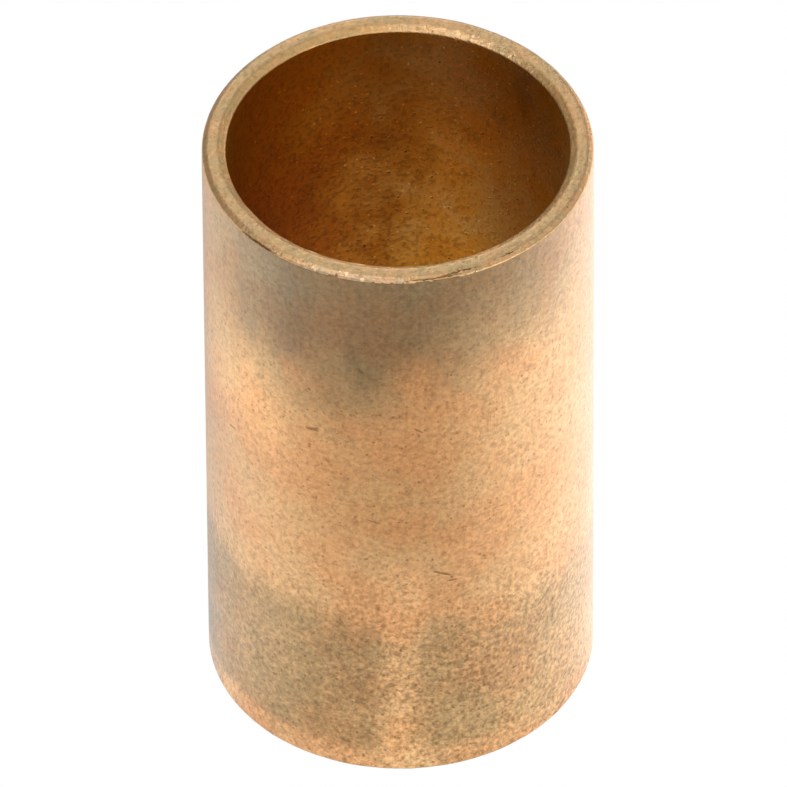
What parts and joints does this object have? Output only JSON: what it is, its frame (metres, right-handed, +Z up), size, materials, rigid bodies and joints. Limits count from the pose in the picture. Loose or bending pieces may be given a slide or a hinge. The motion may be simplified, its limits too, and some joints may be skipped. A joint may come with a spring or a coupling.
{
  "type": "sleeve bushing",
  "caption": "Plain sintered bronze sleeve bushing: a thin-walled cylindrical tube with chamfered ends that carries a rotating or sliding shaft in its bore.",
  "frame": {"origin": "centre of the bottom end face, on the bore axis", "axes": "+Z up along the bore axis towards the other end; X and Y are any two square directions across it, because the sleeve is round"},
  "size_m": [0.0254, 0.0254, 0.0444],
  "materials": {
    "sintered_bronze": "satin sintered bronze, sized but not polished, with fine open pores and faint brown-grey oil staining"
  },
  "bodies": {
    "root": {"sleeve": "sintered_bronze"}
  },
  "joints": []
}
